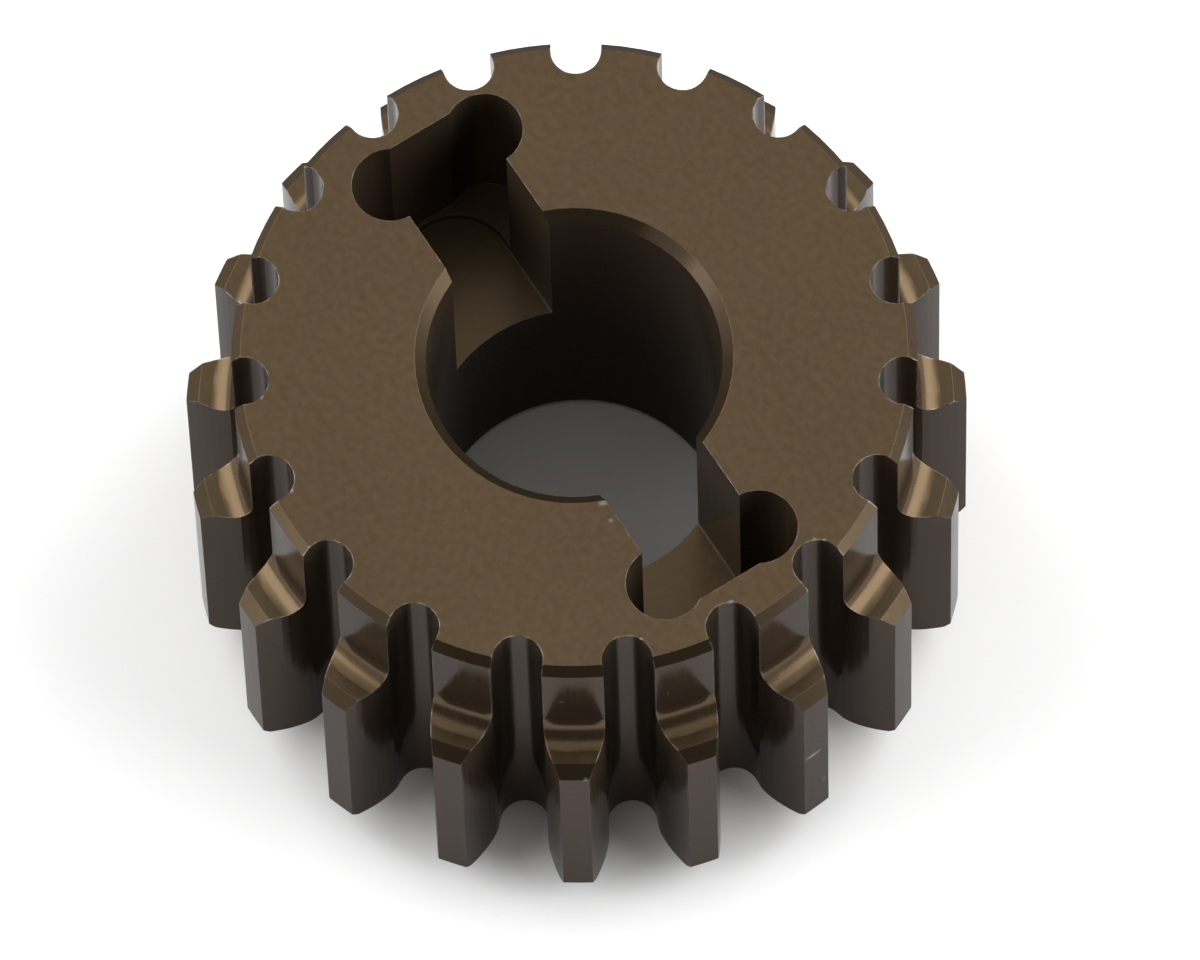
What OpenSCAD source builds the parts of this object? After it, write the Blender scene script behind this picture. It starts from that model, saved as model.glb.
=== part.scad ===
// Spur gear with a raised notched hub, a plain bore and a cross slot with corner reliefs
// One solid, turned from aluminium bar, then hobbed, slotted and hard anodised
// The origin is the centre of the face that it stands on, and the slot runs along X

/* [Teeth] */
// Number of teeth
teeth = 19; // [18:1:24]
// Tooth module
tooth_module = 1; // [0.95:0.01:1.2]
// Pressure angle of the flanks
pressure_angle = 14.5; // [14:0.5:16]
// Profile shift, as a share of the module
profile_shift = 0.1; // [0:0.01:0.15]
// Height of a tooth above the shifted pitch circle, as a share of the module
addendum = 1; // [0.9:0.01:1.05]
// Depth of a tooth space below the shifted pitch circle, as a share of the module
dedendum = 1.35; // [1.3:0.01:1.45]
// Width of the teeth along the axis
face_width = 8.2; // [6:0.1:14]
// Chamfer on the upper edge of the tooth tips
tip_chamfer = 0.35; // [0.1:0.01:0.4]
// Chamfer on the lower edge of the tooth tips
foot_chamfer = 0.15; // [0.05:0.01:0.4]
// Turn of the tooth pattern, from the slot to the nearest tooth
tooth_turn = -4.34; // [-9:0.01:9]

/* [Hub and boss] */
// Height of the notched hub above the teeth
hub_height = 4; // [3:0.1:8]
// Distance of the hub's wall inside the pitch circle
hub_inset = 0.25; // [0.1:0.01:0.4]
// Concave fillet where the hub rises from the teeth
hub_fillet = 0.65; // [0.3:0.05:0.7]
// Chamfer on the hub's rim
rim_chamfer = 0.25; // [0.1:0.01:0.35]
// Height of the boss under the teeth
boss_height = 1; // [0.5:0.1:4]
// Diameter of the boss under the teeth
boss_d = 13; // [11:0.1:13.2]
// Chamfer on the boss's lower edge
boss_chamfer = 0.3; // [0.1:0.05:0.4]

/* [Bore] */
// Diameter of the bore
bore_d = 8; // [6:0.1:8.6]
// Chamfer at both mouths of the bore
bore_chamfer = 0.3; // [0.1:0.02:0.4]

/* [Slot] */
// Width of the cross slot
slot_width = 3.1; // [2.4:0.1:3.6]
// Depth of the cross slot's floor
slot_depth = 6.5; // [5:0.1:9]
// Step from the slot's floor up to the floor of its square ends
relief_step = 0.3; // [0.1:0.05:2]
// Diameter of the corner reliefs
relief_d = 2.1; // [1.8:0.05:2.2]
// Thinnest wall between a corner relief and the root of a tooth space
relief_wall = 0.15; // [0.1:0.01:0.5]

/* [Hidden] */
$fn = 96;
flank_steps = 10;
// Overlap by which a cut passes the surface that it opens
clear = 1;
// Share of a relief's radius by which its centre lies inside the slot's wall
relief_overlap = 0.05;
// Distance from a relief's outer edge back to the square end
relief_reach = 0.15;
// Distance from the square end back to the round end of the floor
floor_gap = 0.1;

pitch_r = tooth_module * teeth / 2;
base_r = pitch_r * cos(pressure_angle);
tip_r = pitch_r + tooth_module * (addendum + profile_shift);
root_r = pitch_r - tooth_module * (dedendum - profile_shift);
hub_r = pitch_r - hub_inset;
bore_r = bore_d / 2;
boss_r = boss_d / 2;
relief_r = relief_d / 2;

face_bottom = boss_height;
face_top = face_bottom + face_width;
height = face_top + hub_height;

// Half the angle of one tooth and its space
half_pitch = 180 / teeth;
// Half the angle of a tooth at the pitch circle
half_tooth = (90 + 2 * profile_shift * tan(pressure_angle) * 180 / PI) / teeth;
// Half the angle of a tooth space at the base circle, where its flanks end
half_space = half_pitch - half_tooth - roll(pitch_r);
// A tooth space ends in a full round, with straight sides up to its flanks
round_r = base_r * sin(half_space);
round_at = root_r + round_r;

// The reliefs take the slot's corners, and leave their wall before the root circle
relief_y = slot_width / 2 - relief_r * relief_overlap;
relief_x = sqrt(pow(root_r - relief_wall - relief_r, 2) - pow(relief_y, 2));
square_end = relief_x + relief_r - relief_reach;
round_end = square_end - floor_gap - slot_width / 2;

// Involute angle, in degrees, between the base circle and a radius
function roll(r) = tan(acos(base_r / r)) * 180 / PI - acos(base_r / r);

// Point on the flank of the tooth space that is centred on X
function flank(r) = r * [cos(half_space + roll(r)), sin(half_space + roll(r))];

function mirrored(points) = [for (i = [len(points) - 1:-1:0]) [points[i][0], -points[i][1]]];

module tooth_space() {
    past_tip = tip_r + clear / 2;
    curve = [for (i = [0:flank_steps]) flank(base_r + (past_tip - base_r) * i / flank_steps)];
    side = concat([[round_at, round_r]], curve);
    polygon(concat(side, mirrored(side)));
    translate([round_at, 0]) circle(r = round_r);
}

module tooth_spaces() {
    translate([0, 0, -clear]) linear_extrude(height + 2 * clear)
        for (i = [0:teeth - 1]) rotate(tooth_turn + (2 * i + 1) * half_pitch) tooth_space();
}

// Half section of the turned blank, from the boss up to the hub
module blank_section() {
    difference() {
        polygon([
            [0, 0],
            [boss_r - boss_chamfer, 0],
            [boss_r, boss_chamfer],
            [boss_r, face_bottom],
            [tip_r - foot_chamfer, face_bottom],
            [tip_r, face_bottom + foot_chamfer],
            [tip_r, face_top - tip_chamfer],
            [tip_r - tip_chamfer, face_top],
            [hub_r + hub_fillet, face_top],
            [hub_r + hub_fillet, face_top + hub_fillet],
            [hub_r, face_top + hub_fillet],
            [hub_r, height - rim_chamfer],
            [hub_r - rim_chamfer, height],
            [0, height]
        ]);
        translate([hub_r + hub_fillet, face_top + hub_fillet]) circle(r = hub_fillet);
    }
}

module bore() {
    mouth_r = bore_r + bore_chamfer + clear;
    mouth_h = bore_chamfer + clear;
    translate([0, 0, -clear]) cylinder(r = bore_r, h = height + 2 * clear);
    translate([0, 0, -clear]) cylinder(r1 = mouth_r, r2 = bore_r, h = mouth_h);
    translate([0, 0, height - bore_chamfer]) cylinder(r1 = bore_r, r2 = mouth_r, h = mouth_h);
}

// The square-ended slot with a round relief in each corner
module slot_outline() {
    square([2 * square_end, slot_width], center = true);
    for (x = [-1, 1], y = [-1, 1]) translate([x * relief_x, y * relief_y]) circle(r = relief_r);
}

// The round-ended pass that cuts the slot's floor
module floor_outline() {
    square([2 * round_end, slot_width], center = true);
    for (x = [-1, 1]) translate([x * round_end, 0]) circle(r = slot_width / 2);
}

module cross_slot() {
    square_depth = slot_depth - relief_step;
    translate([0, 0, height - square_depth]) linear_extrude(square_depth + clear) slot_outline();
    translate([0, 0, height - slot_depth]) linear_extrude(slot_depth + clear) floor_outline();
}

module tail_drive_gear() {
    color([0.38, 0.31, 0.23])
        difference() {
            rotate_extrude() blank_section();
            tooth_spaces();
            bore();
            cross_slot();
        }
}

tail_drive_gear();
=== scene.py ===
import bpy
import math
from mathutils import Matrix, Vector

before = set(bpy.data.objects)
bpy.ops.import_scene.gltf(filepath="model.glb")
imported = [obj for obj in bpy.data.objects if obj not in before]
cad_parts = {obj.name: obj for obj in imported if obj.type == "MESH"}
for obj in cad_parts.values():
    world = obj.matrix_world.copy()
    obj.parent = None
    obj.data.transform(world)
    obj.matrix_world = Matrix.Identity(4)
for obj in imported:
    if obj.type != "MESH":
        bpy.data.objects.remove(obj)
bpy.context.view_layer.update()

# Gear
# One piece of aluminium bar, turned, hobbed, bored and slotted, then hard anodised
# bronze brown. Its flats are satin, its cut walls glossy and its sharp edges rubbed.

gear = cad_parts["tail_drive_gear"]
gear_top = 0.0132
teeth_top = 0.0092
fillet_top = 0.00985
tip_r = 0.0106
hub_r = 0.00925
notch_r = 0.00843
root_r = 0.00825

# Sizes of the dye's fine and broad patches, the cutter's streaks and the rubbing
mottle_size = 0.00022
cloud_size = 0.0030
streak_size = 0.00012
rub_size = 0.0003
# Depth of thin metal that is rubbed, the round on each edge, and the grain's depth
rub_depth = 0.00006
edge_round = 0.00002
grain_depth = 0.000004

dark_wall = (0.084, 0.057, 0.036, 1)
dark_flat = (0.078, 0.0535, 0.030, 1)
light_wall = (0.094, 0.066, 0.042, 1)
light_flat = (0.092, 0.063, 0.035, 1)
# The chamfers' darker colour is painted shade
chamfer_shade_colour = (0.056, 0.039, 0.023, 1)
dyed_glint = (0.26, 0.28, 0.31, 1)
bare_metal = (0.42, 0.40, 0.37, 1)
bare_glint = (0.8, 0.8, 0.8, 1)


def emptied(owner):
    """The node tree of a material or of the world, emptied to build on."""
    owner.use_nodes = True
    owner.node_tree.nodes.clear()
    return owner.node_tree


def put(kind, **settings):
    """A new node in the present tree, with its settings."""
    node = tree.nodes.new(kind)
    for name, value in settings.items():
        setattr(node, name, value)
    return node


def wire(source, target):
    tree.links.new(source, target)


def cover(shader, ending="ShaderNodeOutputMaterial"):
    """Ends the present tree in that shader."""
    wire(shader, put(ending).inputs["Surface"])


def blend(share, low, high, start=0, end=1):
    """A number that goes from low to high as share goes from start to end."""
    node = put("ShaderNodeMapRange", clamp=True)
    wire(share, node.inputs["Value"])
    node.inputs["From Min"].default_value = start
    node.inputs["From Max"].default_value = end
    node.inputs["To Min"].default_value = low
    node.inputs["To Max"].default_value = high
    return node.outputs["Result"]


def both(operation, one, other):
    """Two numbers joined by a sum, a product or the like."""
    node = put("ShaderNodeMath", operation=operation)
    wire(one, node.inputs[0])
    wire(other, node.inputs[1])
    return node.outputs["Value"]


def mixed(kind, share, low, high):
    """A mix of two values or of two other nodes' outputs."""
    node = put("ShaderNodeMix", data_type=kind)
    wire(share, node.inputs["Factor"])
    for name, value in (("A", low), ("B", high)):
        if isinstance(value, bpy.types.NodeSocket):
            wire(value, node.inputs[name])
        else:
            node.inputs[name].default_value = value
    return node.outputs["Result"]


def speckle(size, detail, stretch=(1, 1, 1)):
    """Noise of that size in metres, in the gear's own frame."""
    scale = put("ShaderNodeMapping")
    scale.inputs["Scale"].default_value = stretch
    wire(place.outputs["Object"], scale.inputs["Vector"])
    noise = put("ShaderNodeTexNoise")
    wire(scale.outputs["Vector"], noise.inputs["Vector"])
    noise.inputs["Scale"].default_value = 1 / size
    noise.inputs["Detail"].default_value = detail
    return noise.outputs["Fac"]


def mark(turn, radius, height, deep, around, along, share):
    """The share in a small spot at that place, which fades out past its half sizes."""
    angle = math.radians(turn)
    x, y = radius * math.cos(angle), radius * math.sin(angle)
    spot = put("ShaderNodeMapping", vector_type="TEXTURE")
    spot.inputs["Location"].default_value = (x, y, height)
    spot.inputs["Rotation"].default_value = (0, 0, angle)
    spot.inputs["Scale"].default_value = (deep, around, along)
    wire(place.outputs["Object"], spot.inputs["Vector"])
    size = put("ShaderNodeVectorMath", operation="LENGTH")
    wire(spot.outputs["Vector"], size.inputs[0])
    return blend(size.outputs["Value"], share, 0, 0.3, 1.2)


anodised = bpy.data.materials.new("bronze_hard_anodising")
tree = emptied(anodised)
place = put("ShaderNodeTexCoord")
surface = put("ShaderNodeBsdfPrincipled")
cover(surface.outputs["BSDF"])

# Flats lie across the axis and are satin, and walls along it are glossy
shape = put("ShaderNodeNewGeometry")
slant = put("ShaderNodeSeparateXYZ")
wire(shape.outputs["True Normal"], slant.inputs["Vector"])
either_way = put("ShaderNodeMath", operation="ABSOLUTE")
wire(slant.outputs["Z"], either_way.inputs[0])
flatness = either_way.outputs["Value"]
satin = blend(flatness, 0, 1, 0.45, 0.97)

# The chamfers, above the hub's fillet and below it, get a darker colour: painted shade,
# standing in for the dark surroundings these slopes reflect
axes = put("ShaderNodeSeparateXYZ")
wire(place.outputs["Object"], axes.inputs["Vector"])
gear_height = axes.outputs["Z"]
leaning = blend(flatness, 0, 1, 0.45, 0.68)
sloped = both("MULTIPLY", leaning, blend(flatness, 1, 0, 0.72, 0.9))
on_hub = blend(gear_height, 0, 1, fillet_top + 0.00015, fillet_top + 0.00035)
on_teeth = blend(gear_height, 1, 0, teeth_top - 0.00001, teeth_top + 0.00001)
chamfer_shade = both("MULTIPLY", sloped, both("MAXIMUM", on_hub, on_teeth))

mottle = speckle(mottle_size, 3)
cloud = speckle(cloud_size, 3)
streak = speckle(streak_size, 2, (1, 1, 0.04))

# Sharp edges are rubbed where the metal behind them is thin: most where the hob cut,
# less on the rims of the bore and the slot, and not at all down inside them
thin = put("ShaderNodeAmbientOcclusion", inside=True, only_local=True, samples=6)
thin.inputs["Distance"].default_value = rub_depth
edge = blend(thin.outputs["AO"], 1, 0, 0.55, 0.8)
across = put("ShaderNodeVectorMath", operation="MULTIPLY")
wire(place.outputs["Object"], across.inputs[0])
across.inputs[1].default_value = (1, 1, 0)
from_axis = put("ShaderNodeVectorMath", operation="LENGTH")
wire(across.outputs["Vector"], from_axis.inputs[0])
hobbed = blend(from_axis.outputs["Value"], 0, 1, root_r - 0.0001, root_r + 0.00005)
near_top = blend(gear_height, 0, 0.45, gear_top - 0.0003, gear_top - 0.0001)
worn = both("MULTIPLY", edge, mixed("FLOAT", hobbed, near_top, 0.85))
wear_and_painted_highlight = both("MULTIPLY", worn, blend(speckle(rub_size, 3), 0, 0.7, 0.42, 0.66))

# Nicks, as turn in degrees, radius and height in metres, half sizes inwards, around
# and along the axis, and how bare the metal is: on the rims of the notches, beside
# the bore, on the front teeth and the hub's wall. The last row is no nick but a
# painted highlight: a strip of bare-metal colour along the slot's ledge, standing in
# for light off a small fillet there
for turn, radius, height, deep, around, along, share in (
    (159.8, notch_r, gear_top, 0.00005, 0.00006, 0.00008, 0.55),
    (102.3, notch_r, gear_top, 0.00005, 0.00009, 0.00006, 0.8),
    (84.4, 0.00853, gear_top, 0.00007, 0.00011, 0.00008, 0.55),
    (65.2, 0.00850, gear_top, 0.00007, 0.00010, 0.00008, 0.55),
    (177.8, 0.00832, gear_top, 0.00006, 0.00010, 0.00007, 0.45),
    (-161.6, 0.00862, gear_top, 0.00006, 0.00010, 0.00007, 0.45),
    (-162.3, 0.00840, gear_top, 0.00005, 0.00006, 0.00007, 0.35),
    (157.8, 0.00437, gear_top, 0.00008, 0.00014, 0.00007, 0.3),
    (159.2, 0.00490, gear_top, 0.00007, 0.00007, 0.00004, 0.25),
    (148.9, tip_r, 0.00887, 0.00008, 0.00007, 0.00007, 0.7),
    (-175.5, tip_r, 0.00518, 0.00008, 0.00028, 0.00011, 0.5),
    (-173.5, tip_r, 0.00285, 0.00008, 0.00007, 0.00016, 0.2),
    (145.2, hub_r, 0.01118, 0.00006, 0.00009, 0.00007, 0.3),
    (163.2, hub_r, 0.01092, 0.00006, 0.00006, 0.00007, 0.35),
    # Painted highlight: bare-metal colour along the slot's ledge, for light off a small
    # fillet
    (-90, 0.00153, 0.0067, 0.00004, 0.0066, 0.00006, 0.2),
):
    nick_or_highlight = mark(turn, radius, height, deep, around, along, share)
    wear_and_painted_highlight = both("MAXIMUM", wear_and_painted_highlight, nick_or_highlight)

# Fine streaks on the walls and mottling on the flats break up the gloss
grain_share = mixed("FLOAT", satin, streak, mottle)
gloss = mixed("FLOAT", satin, 0.16, 0.32)
rough = both("ADD", gloss, blend(grain_share, -0.03, 0.03, 0.3, 0.7))
wire(rough, surface.inputs["Roughness"])

dark_dye = mixed("RGBA", satin, dark_wall, dark_flat)
light_dye = mixed("RGBA", satin, light_wall, light_flat)
patchy = both("ADD", blend(cloud, 0, 0.4, 0.3, 0.7), blend(mottle, 0, 0.6, 0.3, 0.7))
even_dye = mixed("RGBA", patchy, dark_dye, light_dye)
# Painted shade: the chamfers take the darker colour here
dye = mixed("RGBA", chamfer_shade, even_dye, chamfer_shade_colour)
# Bare metal where rubbed or nicked, and along the slot's ledge as a painted highlight
wire(mixed("RGBA", wear_and_painted_highlight, dye, bare_metal), surface.inputs["Base Color"])
glint = mixed("RGBA", wear_and_painted_highlight, dyed_glint, bare_glint)
wire(glint, surface.inputs["Specular Tint"])

wire(mixed("FLOAT", satin, 0.56, 0.90), surface.inputs["Metallic"])
surface.inputs["Coat Weight"].default_value = 0.04
surface.inputs["Coat Roughness"].default_value = 0.12
surface.inputs["Coat IOR"].default_value = 1.5
surface.inputs["Specular IOR Level"].default_value = 0.1

soft_edge = put("ShaderNodeBevel", samples=4)
soft_edge.inputs["Radius"].default_value = edge_round
grain = put("ShaderNodeBump")
grain.inputs["Strength"].default_value = 0.12
grain.inputs["Distance"].default_value = grain_depth
wire(grain_share, grain.inputs["Height"])
wire(soft_edge.outputs["Normal"], grain.inputs["Normal"])
wire(grain.outputs["Normal"], surface.inputs["Normal"])

gear.data.materials.clear()
gear.data.materials.append(anodised)

# Floor
# A plain pale table top. It shows white to the camera and in the gloss of the
# gear, and it keeps the gear's shadow.

floor_half = 0.9
floor_bounce = (0.3, 0.3, 0.3, 1)
floor_white = (0.90, 0.90, 0.90, 1)


def sheet(name, half_wide, half_high, finish):
    """A flat rectangle round the origin, with that finish."""
    corners = ((-1, -1), (1, -1), (1, 1), (-1, 1))
    mesh = bpy.data.meshes.new(name)
    mesh.from_pydata(
        [(x * half_wide, y * half_high, 0) for x, y in corners], [], [(0, 1, 2, 3)]
    )
    mesh.materials.append(finish)
    return bpy.data.objects.new(name, mesh)


def shown():
    """1 where the camera sees the surface or where it shows in gloss or glass."""
    path = put("ShaderNodeLightPath")
    seen = both("MAXIMUM", path.outputs["Is Camera Ray"], path.outputs["Is Glossy Ray"])
    return both("MAXIMUM", seen, path.outputs["Is Transmission Ray"])


paper = bpy.data.materials.new("white_paper")
tree = emptied(paper)
matt = put("ShaderNodeBsdfDiffuse")
wire(mixed("RGBA", shown(), floor_bounce, floor_white), matt.inputs["Color"])
cover(matt.outputs["BSDF"])

floor = sheet("floor", floor_half, floor_half, paper)
bpy.context.scene.collection.objects.link(floor)

# Light
# A white room, with a wide soft box on either side of the table and a black card
# between the camera and the gear, which keeps the front of the metal dark.

azimuth = math.radians(149.39)
lamp_reach = 0.5
card_reach = 0.45
card_half_wide = 0.36
card_half_high = 0.24

world = bpy.data.worlds.new("room")
bpy.context.scene.world = world
tree = emptied(world)
glow = put("ShaderNodeBackground")
glow.inputs["Color"].default_value = (1, 1, 1, 1)
sky = put("ShaderNodeTexCoord")
sky_axes = put("ShaderNodeSeparateXYZ")
wire(sky.outputs["Generated"], sky_axes.inputs["Vector"])
dome = blend(sky_axes.outputs["Z"], 0, 0.6, 0.34, 0.87)
wire(mixed("FLOAT", shown(), dome, 1.0), glow.inputs["Strength"])
cover(glow.outputs["Background"], "ShaderNodeOutputWorld")


def stand(thing, turn, rise, reach):
    """Puts a thing at that turn from the camera, rise and reach, facing the gear."""
    angle = azimuth + math.radians(turn)
    lift = math.radians(rise)
    way = Vector((
        math.cos(lift) * math.cos(angle),
        math.cos(lift) * math.sin(angle),
        math.sin(lift),
    ))
    facing = way.to_track_quat("Z", "Y").to_matrix().to_4x4()
    thing.matrix_world = Matrix.Translation(way * reach) @ facing
    bpy.context.scene.collection.objects.link(thing)


for name, turn, rise, wide, high, watts in (
    ("right_soft_box", 99, 37, 0.84, 0.48, 5.2),
    ("left_soft_box", -107, 37, 0.76, 0.48, 4.3),
):
    lamp = bpy.data.lights.new(name, "AREA")
    lamp.shape = "RECTANGLE"
    lamp.size = wide
    lamp.size_y = high
    lamp.energy = watts
    stand(bpy.data.objects.new(name, lamp), turn, rise, lamp_reach)

black = bpy.data.materials.new("black_card")
tree = emptied(black)
matt = put("ShaderNodeBsdfDiffuse")
matt.inputs["Color"].default_value = (0.03, 0.03, 0.03, 1)
cover(matt.outputs["BSDF"])

card = sheet("black_card", card_half_wide, card_half_high, black)
card.visible_camera = False
stand(card, 0, 34, card_reach)

# Camera
# A long lens looks down on the slotted face at 68 degrees. It stands half a metre
# away and is rolled by two degrees, as in the photograph.

elevation = math.radians(67.9154)
roll = math.radians(-2.0366)
distance = 0.54
aim_right = 0.0007011
aim_up = -0.0033624
sensor = 36
focal_px = 20052.7
picture_w = 1200

back = Vector((
    math.cos(elevation) * math.cos(azimuth),
    math.cos(elevation) * math.sin(azimuth),
    math.sin(elevation),
))
side = Vector((-math.sin(azimuth), math.cos(azimuth), 0))
upright = back.cross(side)
right = math.cos(roll) * side + math.sin(roll) * upright
up = -math.sin(roll) * side + math.cos(roll) * upright

lens = bpy.data.cameras.new("camera")
lens.sensor_width = sensor
lens.lens = focal_px * sensor / picture_w
lens.clip_start = 0.01
lens.clip_end = 5
camera = bpy.data.objects.new("camera", lens)
bpy.context.scene.collection.objects.link(camera)
centre = Vector((0, 0, gear_top)) + right * aim_right + up * aim_up
frame_turn = Matrix((right, up, back)).transposed().to_4x4()
camera.matrix_world = Matrix.Translation(centre + back * distance) @ frame_turn
bpy.context.scene.camera = camera

bpy.context.scene.view_settings.view_transform = "Standard"
